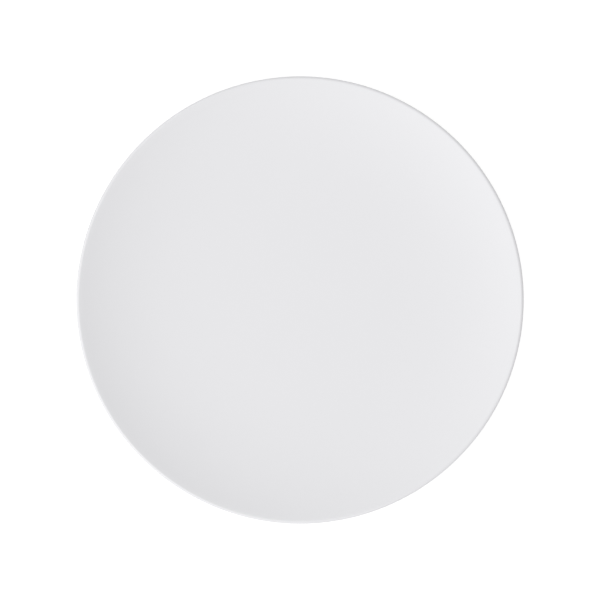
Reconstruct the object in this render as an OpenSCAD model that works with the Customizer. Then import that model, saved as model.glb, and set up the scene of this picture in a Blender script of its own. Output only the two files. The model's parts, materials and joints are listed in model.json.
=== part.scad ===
// Round coupe plate: one fired porcelain body, and the glaze that is fused onto it.
// Half of the section is drawn right of the axis and turned about Z.
// Z = 0 is the table, and the plate stands on the bare flat of its foot ring.

/* [Plate] */
// Outside diameter, measured over the lip
plate_d = 320; // [280:1:340]
// Height from the table to the top of the lip
plate_h = 20; // [18:0.5:28]
// Diameter of the flat in the middle of the eating face
well_d = 100; // [60:1:150]
// Thickness in the middle, glaze included
base_t = 5.5; // [4.5:0.1:6.5]
// Thickness of the full-round lip, glaze included
lip_t = 3.7; // [2.5:0.1:4.5]
// Slope of the wall where it runs into the lip, in degrees
lip_angle = 18; // [16:0.5:28]

/* [Foot ring] */
// Outside diameter of the foot ring at the table
foot_d = 182; // [150:1:210]
// Width of the foot ring at the table, before its edges are rounded
foot_w = 5; // [4:0.1:8]
// Height of the recess inside the foot ring above the table
foot_h = 4.5; // [2.8:0.1:5]

/* [Support ring] */
// Outside diameter of the inner ring, which holds the middle up in the kiln
support_d = 64; // [40:1:100]
// Width of the inner ring at its lower edge, before its edges are rounded
support_w = 4; // [3:0.1:6]
// How far the inner ring stays off the table
support_gap = 0.4; // [0.2:0.05:0.8]

/* [Ring sections] */
// Fillet at the root of both rings, on the glaze
root_fillet = 2.5; // [1.5:0.1:3]
// How much each side of a ring leans out from its lower edge to its fillet
side_flare = 0.6; // [0.3:0.1:1.2]
// Radius along the lower edges of both rings
edge_round = 0.8; // [0.4:0.1:1]

/* [Glaze] */
// Thickness of the glaze coat
glaze_t = 0.25; // [0.1:0.05:0.4]
// Height of the strip above a ring's lower edge that is wiped bare
bare_h = 1; // [0.8:0.1:1.3]

/* [Hidden] */

// Straight steps that stand for each curve of the section
wall_steps = 48;
underside_steps = 36;
lip_steps = 16;
fillet_steps = 8;
edge_steps = 5;
turn_steps = 240;

glaze_colour = [0.906, 0.906, 0.914];
porcelain_colour = [0.86, 0.85, 0.82];

// The eating face: a flat well, then a sweep that steepens up to the lip
well_r = well_d / 2;
well_z = foot_h + base_t;
sweep_end_r = plate_d / 2 - lip_t / 2 * (1 + sin(lip_angle));
sweep_w = sweep_end_r - well_r;
sweep_rise = plate_h - lip_t / 2 * (1 - cos(lip_angle)) - well_z;
sweep_power = tan(lip_angle) * sweep_w / sweep_rise;

// A point of the eating face, from 0 at the well's edge to 1 at the lip
function face(along) = [
    well_r + sweep_w * along,
    well_z + sweep_rise * pow(max(along, 0), sweep_power)
];
function face_slope(along) = atan(tan(lip_angle) * pow(max(along, 0), sweep_power - 1));
// Straight into the plate from the eating face
function inward(along) = [sin(face_slope(along)), -cos(face_slope(along))];
function below_face(along, depth) = face(along) + depth * inward(along);
function wall_t(along) = base_t + (lip_t - base_t) * along;

lip_centre = below_face(1, lip_t / 2);
function around(centre, radius, turn) = centre + radius * [cos(turn), sin(turn)];
// Round the lip, from 0 at the eating face to 1 at the underside
function lip_point(along, depth) =
    around(lip_centre, lip_t / 2 - depth, 90 + lip_angle - 180 * along);

// A ring's side is [lower edge, fillet centre, hand, turn from the fillet's centre to what it joins].
// Hand is 1 where the open air is on the right of the side, and -1 where it is on the left.
foot_r = foot_d / 2;
support_r = support_d / 2;
flat_turn = 90;
fillet_reach = root_fillet + side_flare;
foot_along = (foot_r + fillet_reach - well_r) / sweep_w;

function recess_side(edge, hand) =
    [edge, [edge.x + hand * fillet_reach, foot_h - root_fillet], hand, flat_turn];
foot_outside = [
    [foot_r, 0],
    below_face(foot_along, wall_t(foot_along) + root_fillet),
    1,
    flat_turn + face_slope(foot_along)
];
foot_inside = recess_side([foot_r - foot_w, 0], -1);
support_outside = recess_side([support_r, support_gap], 1);
support_inside = recess_side([support_r - support_w, support_gap], -1);

function edge_of(side) = side[0];
function centre_of(side) = side[1];
function hand_of(side) = side[2];
function join_turn_of(side) = side[3];

// The side runs straight up from its lower edge and touches the body's fillet
function side_turn(side) =
    let (reach = centre_of(side) - edge_of(side))
    atan2(reach.y, reach.x) + hand_of(side) * asin((root_fillet + glaze_t) / norm(reach));
function side_way(side) = [cos(side_turn(side)), sin(side_turn(side))];
function touch_turn(side) = side_turn(side) + hand_of(side) * 90;
function touch_point(side, depth) =
    around(centre_of(side), root_fillet + depth, touch_turn(side));

// Up a ring's side from the end of the glaze, then round its fillet
function side_skin(side, depth) =
    let (
        touch = touch_point(side, depth),
        glaze_end_z = edge_of(side).y + bare_h,
        glaze_end = touch + side_way(side) * (glaze_end_z - touch.y) / sin(side_turn(side)),
        sweep = join_turn_of(side) - touch_turn(side)
    )
    concat([glaze_end], [
        for (i = [0 : fillet_steps])
            around(centre_of(side), root_fillet + depth, touch_turn(side) + sweep * i / fillet_steps)
    ]);

function reversed(points) = [for (i = [len(points) - 1 : -1 : 0]) points[i]];

// Round a ring's lower edge, from its side to its flat
function edge_arc(side) =
    let (
        hand = hand_of(side),
        corner_angle = hand > 0 ? 180 - side_turn(side) : side_turn(side),
        centre = edge_of(side) + edge_round * [-hand / tan(corner_angle / 2), 1],
        side_end = side_turn(side) - hand * 90,
        flat_end = 90 - hand * 180
    )
    [
        for (i = [0 : edge_steps])
            around(centre, edge_round, side_end + (flat_end - side_end) * i / edge_steps)
    ];
// Under a ring, from its outside to its inside
function ring_foot(outside, inside) = concat(edge_arc(outside), reversed(edge_arc(inside)));

// Each skin is a line at one depth under the glazed surface: 0 on the glaze, glaze_t on the body.
function outer_skin(depth) = concat(
    [[0, well_z - depth]],
    [for (i = [0 : wall_steps]) below_face(i / wall_steps, depth)],
    [for (i = [1 : lip_steps]) lip_point(i / lip_steps, depth)],
    [
        for (i = [1 : underside_steps - 1])
            let (along = 1 - (1 - foot_along) * i / underside_steps)
            below_face(along, wall_t(along) - depth)
    ],
    reversed(side_skin(foot_outside, depth))
);
function recess_skin(depth) =
    concat(side_skin(foot_inside, depth), reversed(side_skin(support_outside, depth)));
function centre_skin(depth) =
    concat(side_skin(support_inside, depth), [[0, foot_h + depth]]);

module turned(section) {
    rotate_extrude($fn = turn_steps)
        polygon(section);
}

module porcelain_body() {
    color(porcelain_colour)
        turned(concat(
            outer_skin(glaze_t),
            ring_foot(foot_outside, foot_inside),
            recess_skin(glaze_t),
            ring_foot(support_outside, support_inside),
            centre_skin(glaze_t)
        ));
}

module outer_glaze() {
    color(glaze_colour)
        turned(concat(outer_skin(0), reversed(outer_skin(glaze_t))));
}

module recess_glaze() {
    color(glaze_colour)
        turned(concat(recess_skin(0), reversed(recess_skin(glaze_t))));
}

module centre_glaze() {
    color(glaze_colour)
        turned(concat(centre_skin(0), reversed(centre_skin(glaze_t))));
}

porcelain_body();
outer_glaze();
recess_glaze();
centre_glaze();
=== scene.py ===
import json
import math

import bmesh
import bpy
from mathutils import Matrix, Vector, geometry


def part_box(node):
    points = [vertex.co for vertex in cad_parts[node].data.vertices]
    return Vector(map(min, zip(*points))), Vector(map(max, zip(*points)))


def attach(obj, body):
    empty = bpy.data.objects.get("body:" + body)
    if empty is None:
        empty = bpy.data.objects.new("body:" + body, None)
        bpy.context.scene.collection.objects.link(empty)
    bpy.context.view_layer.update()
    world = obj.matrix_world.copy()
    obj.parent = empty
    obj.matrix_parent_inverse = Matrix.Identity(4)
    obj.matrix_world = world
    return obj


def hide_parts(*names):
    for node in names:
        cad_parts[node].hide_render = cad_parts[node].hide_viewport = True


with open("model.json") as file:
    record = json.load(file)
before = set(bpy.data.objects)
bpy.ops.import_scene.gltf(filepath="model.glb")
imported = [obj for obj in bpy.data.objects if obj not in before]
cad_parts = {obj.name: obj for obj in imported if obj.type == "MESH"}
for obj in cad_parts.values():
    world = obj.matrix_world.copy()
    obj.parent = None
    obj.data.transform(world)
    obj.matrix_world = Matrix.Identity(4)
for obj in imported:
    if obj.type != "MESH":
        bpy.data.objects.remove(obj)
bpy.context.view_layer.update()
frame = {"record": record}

# The porcelain body: one piece, pressed from fine white porcelain powder and fired hard. It stands on a foot
# ring, and a shorter ring inside that one holds its middle up in the kiln. Both are wiped free of glaze
# before firing, so the bare, matte body shows only there, and the foot is ground smooth afterwards.
mount_at = {mount["name"]: Vector(mount["pos_m"]) for mount in frame["record"]["mounts"]}
plate_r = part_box("outer_glaze")[1].x
plate_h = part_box("outer_glaze")[1].z
glaze_t = plate_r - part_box("porcelain_body")[1].x
well_r = 0.050
well_z = mount_at["well"].z
base_t = 0.0055
lip_t = 0.0037
lip_angle = math.radians(18)
foot_mid_r = mount_at["foot_ring"].x
foot_w = 0.005
foot_h = well_z - base_t
support_r = 0.032
support_w = 0.004
support_gap = 0.0004
root_fillet = 0.0025
side_flare = 0.0006
edge_round = 0.0008
bare_h = 0.001

sweep_w = plate_r - lip_t / 2 * (1 + math.sin(lip_angle)) - well_r
sweep_rise = plate_h - lip_t / 2 * (1 - math.cos(lip_angle)) - well_z
sweep_power = math.tan(lip_angle) * sweep_w / sweep_rise
wall_steps = 32
underside_steps = 20
round_steps = 8
turn_steps = 256
merge_gap = 1e-6
# How far an outline runs flat past a ring's root, in fillet radii, so that the fillet has room
fillet_room = 1.5


def below_face(along, depth):
    """A point at a depth under the eating face, from 0 at the edge of the flat well to 1 at the lip."""
    slope = math.atan(math.tan(lip_angle) * along ** (sweep_power - 1))
    face = Vector((well_r + sweep_w * along, 0, well_z + sweep_rise * along ** sweep_power))
    return face + depth * Vector((math.sin(slope), 0, -math.cos(slope)))


def above_underside(along, height):
    """A point of the wall at a height above its underside: the wall thins from the middle to the lip."""
    return below_face(along, base_t + (lip_t - base_t) * along - height)


class RingSide:
    """One side of a ring under the plate, which leans out from its lower edge to the fillet at its root.

    Hand is 1 where the open air is outside the ring's side, and -1 where it is inside.
    """

    def __init__(self, edge_r, edge_z, hand, fillet_centre=None):
        self.edge = Vector((edge_r, 0, edge_z))
        if fillet_centre is None:
            fillet_centre = Vector((edge_r + hand * (root_fillet + side_flare), 0, foot_h - root_fillet))
        reach = fillet_centre - self.edge
        turn = math.atan2(reach.z, reach.x) + hand * math.asin((root_fillet + glaze_t) / reach.length)
        self.way = Vector((math.cos(turn), 0, math.sin(turn)))
        self.air = hand * Vector((math.sin(turn), 0, -math.cos(turn)))

    def at_height(self, z, depth):
        """The point of the side at a height, at a depth under the glazed surface."""
        start = self.edge + self.air * (glaze_t - depth)
        return start + self.way * ((z - start.z) / self.way.z)

    def glaze_end(self):
        """Where the glaze stops, above the strip that is wiped bare."""
        return self.at_height(self.edge.z + bare_h, 0)


foot_out_r = foot_mid_r + foot_w / 2
foot_along = (foot_out_r + root_fillet + side_flare - well_r) / sweep_w
foot_outside = RingSide(foot_out_r, 0, 1, above_underside(foot_along, -root_fillet))
foot_inside = RingSide(foot_out_r - foot_w, 0, -1)
support_outside = RingSide(support_r, support_gap, 1)
support_inside = RingSide(support_r - support_w, support_gap, -1)


def outer_outline(depth):
    """From the middle of the eating face, over the lip, to the foot: points, each with its rounding."""
    lip_r = lip_t / 2 - depth
    lip_reach = lip_r * Vector((math.cos(lip_angle), 0, math.sin(lip_angle)))
    underside = [1 - (1 - foot_along) * step / underside_steps for step in range(underside_steps)]
    last, first = (above_underside(along, depth) for along in underside[:-3:-1])
    side = foot_outside.at_height(0, depth)
    foot_root = geometry.intersect_line_line(side, side + foot_outside.way, last, first)[0]
    return [
        (Vector((0, 0, well_z - depth)), 0),
        *[(below_face(step / wall_steps, depth), 0) for step in range(wall_steps + 1)],
        (below_face(1, depth) + lip_reach, lip_r),
        (below_face(1, lip_t - depth) + lip_reach, lip_r),
        *[(above_underside(along, depth), 0) for along in underside],
        (foot_root, root_fillet + depth),
    ]


def flat_outline(sides, depth):
    """The flat of a recess between the roots of ring sides, or from one root towards the axis."""
    hold = fillet_room * root_fillet
    outline = []
    for side in sides:
        root = side.at_height(foot_h + depth, depth)
        flat_point = root + Vector((math.copysign(hold, side.air.x), 0, 0))
        pair = [(root, root_fillet + depth), (flat_point, 0)]
        outline += pair if side is sides[0] else reversed(pair)
    return outline


def turned(outline):
    """A mesh of an outline turned once about the plate's axis, with the rings of its corners rounded."""
    bm = bmesh.new()
    points = [bm.verts.new(point) for point, radius in outline]
    line = [bm.edges.new(pair) for pair in zip(points, points[1:])]
    bmesh.ops.spin(bm, geom=points + line, cent=(0, 0, 0), axis=(0, 0, 1), angle=2 * math.pi,
                   steps=turn_steps, use_merge=True)
    bmesh.ops.remove_doubles(bm, verts=bm.verts, dist=merge_gap)
    bmesh.ops.recalc_face_normals(bm, faces=bm.faces)
    for corner, radius in outline:
        if radius:
            round_ring(bm, corner, radius)
    return bm


def round_ring(bm, corner, radius):
    """Rounds the ring of edges that a corner of the outline became."""
    ring = [
        edge for edge in bm.edges
        if all(math.hypot(v.co.xy.length - corner.x, v.co.z - corner.z) < merge_gap for v in edge.verts)
    ]
    reach = radius * math.tan(ring[0].calc_face_angle() / 2)
    bmesh.ops.bevel(bm, geom=ring, offset=reach, offset_type="OFFSET", affect="EDGES", segments=round_steps,
                    profile=0.5, material=-1)
    bmesh.ops.remove_doubles(bm, verts=bm.verts, dist=merge_gap)


def plate_piece(name, bm, node, slot, *materials):
    """Makes a mesh into a piece of the plate that stands for a node of the frame."""
    mesh = bpy.data.meshes.new(name)
    bm.to_mesh(mesh)
    bm.free()
    mesh.shade_smooth()
    for material in materials:
        mesh.materials.append(material)
    piece = bpy.data.objects.new(name, mesh)
    bpy.context.scene.collection.objects.link(piece)
    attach(piece, "root")
    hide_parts(node)


class Wire:
    """An output socket of a shader's node. Operators on wires and numbers add Math nodes behind it."""

    def __init__(self, tree, socket=None):
        self.tree = tree
        self.socket = socket

    def node(self, kind, settings, inputs, output=0):
        """Adds a node with its settings and the values or wires of its inputs, and gives one output."""
        added = self.tree.nodes.new(kind)
        for name, value in settings.items():
            setattr(added, name, value)
        for key, value in inputs.items():
            if isinstance(value, Wire):
                self.tree.links.new(value.socket, added.inputs[key])
            else:
                added.inputs[key].default_value = value
        return Wire(self.tree, added.outputs[output])

    def other(self, output):
        """Another output of the same node."""
        return Wire(self.tree, self.socket.node.outputs[output])

    def maths(self, operation, *values):
        return self.node("ShaderNodeMath", {"operation": operation}, dict(enumerate(values)))

    def __add__(self, value):
        return self.maths("ADD", self, value)

    def __radd__(self, value):
        return self.maths("ADD", value, self)

    def __sub__(self, value):
        return self.maths("SUBTRACT", self, value)

    def __rsub__(self, value):
        return self.maths("SUBTRACT", value, self)

    def __mul__(self, value):
        return self.maths("MULTIPLY", self, value)

    def __rmul__(self, value):
        return self.maths("MULTIPLY", value, self)

    def __abs__(self):
        return self.maths("ABSOLUTE", self)

    def __or__(self, value):
        return self.maths("MAXIMUM", self, value)

    def noise(self, scale, detail=2.0):
        return self.node("ShaderNodeTexNoise", {}, {"Vector": self, "Scale": scale, "Detail": detail})

    def fade(self, start, end):
        """From 0 at start to 1 at end, with soft ends."""
        return self.node("ShaderNodeMapRange", {"interpolation_type": "SMOOTHSTEP"},
                         {"Value": self, "From Min": start, "From Max": end})

    def tint(self, first, second):
        """A colour between two, mixed by this wire."""
        # For colours, the node's factor is input 0, its colours are inputs 6 and 7, its result is output 2
        inputs = {0: self, 6: (*first, 1), 7: (*second, 1)}
        return self.node("ShaderNodeMix", {"data_type": "RGBA"}, inputs, 2)

    def bump(self, depth):
        return self.node("ShaderNodeBump", {}, {"Height": self, "Distance": depth})

    def from_axis(self):
        """How far a place lies from the plate's axis."""
        flat = self.node("ShaderNodeVectorMath", {"operation": "MULTIPLY"}, {0: self, 1: (1, 1, 0)})
        return self.node("ShaderNodeVectorMath", {"operation": "LENGTH"}, {0: flat}, "Value")


def new_material(name, **constants):
    """A material, its shader with the constant sockets set, and the wire of a place on the plate."""
    material = bpy.data.materials.new(name)
    material.use_nodes = True
    shader = material.node_tree.nodes["Principled BSDF"]
    for socket, value in constants.items():
        shader.inputs[socket.replace("_", " ")].default_value = value
    place = Wire(material.node_tree).node("ShaderNodeTexCoord", {}, {}, "Object")
    return material, shader, place


def connect(shader, **wires):
    """Links wires to a shader's sockets, which are named with _ for each space."""
    for socket, wire in wires.items():
        wire.tree.links.new(wire.socket, shader.inputs[socket.replace("_", " ")])


bare_white = (0.74, 0.72, 0.67)
bare_grey = (0.63, 0.61, 0.57)
grain_size = 0.0004
grain_detail = 3
grain_depth = 0.00004
grain_band = (0.45, 0.8)
grain_grey = 0.6
cloud_size = 0.015
cloud_band = (0.4, 0.75)
cloud_grey = 0.5
ground_h = 0.0002
ground_smoothing = 0.6
scratch_step = 0.00025
scratches_per_radian = 4
scratch_share = 0.5
bare_roughness = 0.5
grain_roughness = 0.3
ground_polish = 0.15

bare_porcelain, bare_shader, place = new_material("bare_porcelain", IOR=1.5, Specular_IOR_Level=0.3)
grain = place.noise(1 / grain_size, grain_detail)
clouds = place.noise(1 / cloud_size)
greyed = grain_grey * grain.fade(*grain_band) + cloud_grey * clouds.fade(*cloud_band)
up = place.node("ShaderNodeSeparateXYZ", {}, {"Vector": place}, "Z")
ground = 1 - up.fade(0, ground_h)
scratches = place.node("ShaderNodeCombineXYZ", {}, {
    "X": place.from_axis() * (1 / scratch_step),
    "Y": scratches_per_radian * place.maths("ARCTAN2", up.other("Y"), up.other("X")),
}).noise(1)
relief = (1 - ground_smoothing * ground) * grain + scratch_share * ground * scratches
connect(
    bare_shader,
    Base_Color=greyed.tint(bare_white, bare_grey),
    Roughness=bare_roughness + grain_roughness * grain - ground_polish * ground,
    Normal=relief.bump(grain_depth),
)
body_outline = [
    *outer_outline(glaze_t),
    (foot_outside.edge, edge_round),
    (foot_inside.edge, edge_round),
    *flat_outline([foot_inside, support_outside], glaze_t),
    (support_outside.edge, edge_round),
    (support_inside.edge, edge_round),
    *flat_outline([support_inside], glaze_t),
    (Vector((0, 0, foot_h + glaze_t)), 0),
]
plate_piece("fired_body", turned(body_outline), "porcelain_body", "porcelain", bare_porcelain)

# The outer glaze: a clear, glossy coat of glass, sprayed on and melted onto the body in the kiln. It covers
# the eating face, runs round the lip and down the underside, and ends in a rounded edge above the foot.
edge_waver = 0.00012
edge_waves = ((5, 0.3), (13, 1.7), (31, 4.1))
bead_round = 0.00018
bead_steps = 4


def coated(outline, facing):
    """A glaze coat on an outline's surface. Its flat faces up (1) or down (-1), and its free edges waver."""
    bm = turned(outline)
    flat = max(bm.faces, key=lambda face: abs(face.normal.z))
    if flat.normal.z * facing < 0:
        bmesh.ops.reverse_faces(bm, faces=bm.faces)
    rims = [edge for edge in bm.edges if edge.is_boundary]
    for vert in {vert for edge in rims for vert in edge.verts}:
        inward = next(edge.other_vert(vert) for edge in vert.link_edges if not edge.is_boundary)
        turn = math.atan2(vert.co.y, vert.co.x)
        waver = sum(math.sin(waves * turn + phase) for waves, phase in edge_waves) / len(edge_waves)
        vert.co += (vert.co - inward.co).normalized() * edge_waver * waver
    bmesh.ops.solidify(bm, geom=bm.faces, thickness=glaze_t)
    bmesh.ops.bevel(bm, geom=rims, offset=bead_round, offset_type="OFFSET", affect="EDGES",
                    segments=bead_steps, profile=0.5, material=-1)
    return bm


glaze_white = (0.79, 0.788, 0.805)
glaze_pooled = (0.74, 0.76, 0.78)
flow_tint = 0.1
pool_tint = 0.7
peel_size = 0.005
peel_depth = 0.00003
flow_size = 0.035
flow_depth = 0.0002
tool_step = 0.0016
tool_depth = 0.00002
glaze_detail = 1
glaze_roughness = 0.06
flow_roughness = 0.04


def glaze_finish(name, tool_marks, pools):
    """Clear gloss over white: faint orange peel and flow, tool rings if marked, deeper colour in pools."""
    material, shader, place = new_material(name, IOR=1.52)
    radius = place.from_axis()
    peel = place.noise(1 / peel_size, glaze_detail)
    flow = place.noise(1 / flow_size, glaze_detail)
    ring_place = place.node("ShaderNodeCombineXYZ", {}, {"X": radius * (1 / tool_step)})
    tool_rings = ring_place.noise(1, glaze_detail)
    pooled = flow_tint * flow
    for pool_r in pools:
        pooled = pooled + pool_tint * (1 - abs(radius - pool_r).fade(0, root_fillet))
    connect(
        shader,
        Base_Color=pooled.tint(glaze_white, glaze_pooled),
        Roughness=glaze_roughness + flow_roughness * flow,
        Normal=(peel_depth * peel + flow_depth * flow + tool_depth * tool_marks * tool_rings).bump(1),
    )
    return material


face_glaze = glaze_finish("face_glaze", 0, [])
under_glaze = glaze_finish("under_glaze", 1, [
    foot_outside.at_height(foot_h, 0).x,
    foot_inside.at_height(foot_h, 0).x,
    support_outside.at_height(foot_h, 0).x,
    support_inside.at_height(foot_h, 0).x,
])
outer_mesh = coated([*outer_outline(0), (foot_outside.glaze_end(), 0)], 1)
for face in outer_mesh.faces:
    face.material_index = int(face.normal.z < 0)
plate_piece("outer_coat", outer_mesh, "outer_glaze", "glaze", face_glaze, under_glaze)

# The recess glaze: the same coat in the ring-shaped recess under the plate. The bare foot ring and support
# ring part it from the other two coats. Nothing is printed or stamped on it.
recess_outline = [
    (foot_inside.glaze_end(), 0),
    *flat_outline([foot_inside, support_outside], 0),
    (support_outside.glaze_end(), 0),
]
plate_piece("recess_coat", coated(recess_outline, -1), "recess_glaze", "glaze", under_glaze)

# The centre glaze: the round patch of the same coat in the middle of the underside. The bare support ring
# goes all round it, and it is as plain as the rest.
centre_outline = [
    (support_inside.glaze_end(), 0),
    *flat_outline([support_inside], 0),
    (Vector((0, 0, foot_h)), 0),
]
plate_piece("centre_coat", coated(centre_outline, -1), "centre_glaze", "glaze", under_glaze)

# The floor: a plain sheet of matte white card under the plate. To the camera and in reflections it has some
# white of its own, so that the open floor is white right up to the lip. That white fades out under the
# plate, so that the plate's shadow there stays deep.
floor_size = 20.0
floor_drop = 0.00001
card_grey = 0.5
own_white = 0.73


def seen(wire):
    """1 for a ray that the camera sends, straight or by way of a gloss, and 0 for scattered light."""
    camera_ray = wire.node("ShaderNodeLightPath", {}, {}, "Is Camera Ray")
    return camera_ray | camera_ray.other("Is Glossy Ray") | camera_ray.other("Is Transmission Ray")


white_card, card_shader, place = new_material(
    "white_card", Base_Color=(card_grey, card_grey, card_grey, 1), Roughness=1, Specular_IOR_Level=0,
    Emission_Strength=own_white)
clear_of_plate = place.from_axis().fade(foot_out_r, plate_r)
connect(card_shader, Emission_Color=(seen(place) * clear_of_plate).tint((0, 0, 0), (1, 1, 1)))

bm = bmesh.new()
bmesh.ops.create_grid(bm, x_segments=1, y_segments=1, size=floor_size / 2)
bmesh.ops.translate(bm, verts=bm.verts, vec=(0, 0, -floor_drop))
floor_mesh = bpy.data.meshes.new("floor")
bm.to_mesh(floor_mesh)
bm.free()
floor_mesh.materials.append(white_card)
floor = bpy.data.objects.new("floor", floor_mesh)
bpy.context.scene.collection.objects.link(floor)

# The light: one large softbox low on the left, a little to the front, and a white sky that is brightest
# round it. The softbox is too low for the eating face to mirror it into the camera, so only the lip there
# catches its shine.
ambient = 0.768
sky_slope = 0.594
key_share = 0.10
key_way = Vector((-0.884, -0.468, 0))
key_rise = math.radians(30)
key_distance = 6.0
key_w = 5.0
key_h = 3.0

key = bpy.data.lights.new("softbox", "AREA")
key.shape = "RECTANGLE"
key.size = key_w
key.size_y = key_h
# What faces the softbox gets about key_share times the light of a plain white sky
key.energy = key_share * math.pi ** 2 * key_distance ** 2
softbox = bpy.data.objects.new("softbox", key)
bpy.context.scene.collection.objects.link(softbox)
towards_key = key_way.normalized() * math.cos(key_rise) + Vector((0, 0, math.sin(key_rise)))
softbox.location = towards_key * key_distance
softbox.rotation_euler = (-towards_key).to_track_quat("-Z", "Y").to_euler()

world = bpy.data.worlds.new("white_sky")
world.use_nodes = True
bpy.context.scene.world = world
background = world.node_tree.nodes["Background"]
background.inputs["Color"].default_value = (1, 1, 1, 1)
way = Wire(world.node_tree).node("ShaderNodeTexCoord", {}, {}, "Generated")
near_key = way.node("ShaderNodeVectorMath", {"operation": "DOT_PRODUCT"}, {0: way, 1: towards_key}, "Value")
looked_at = seen(way)
connect(background, Strength=looked_at + (1 - looked_at) * (ambient + sky_slope * near_key))

# The camera: straight above the plate's middle, with +Y up in the picture, and far off with a long lens, so
# that the lip is seen almost square on all round. The plate is as wide in the picture as in the photograph.
picture_px = 600
plate_px = 447.45
lens_mm = 300
sensor_mm = 36

camera_data = bpy.data.cameras.new("camera")
camera_data.lens = lens_mm
camera_data.sensor_width = sensor_mm
camera = bpy.data.objects.new("camera", camera_data)
bpy.context.scene.collection.objects.link(camera)
view_w = 2 * plate_r * picture_px / plate_px
lip_z = below_face(1, lip_t / 2).z
camera.location = (0, 0, lip_z + view_w * lens_mm / sensor_mm)
bpy.context.scene.camera = camera
bpy.context.scene.view_settings.view_transform = "Standard"
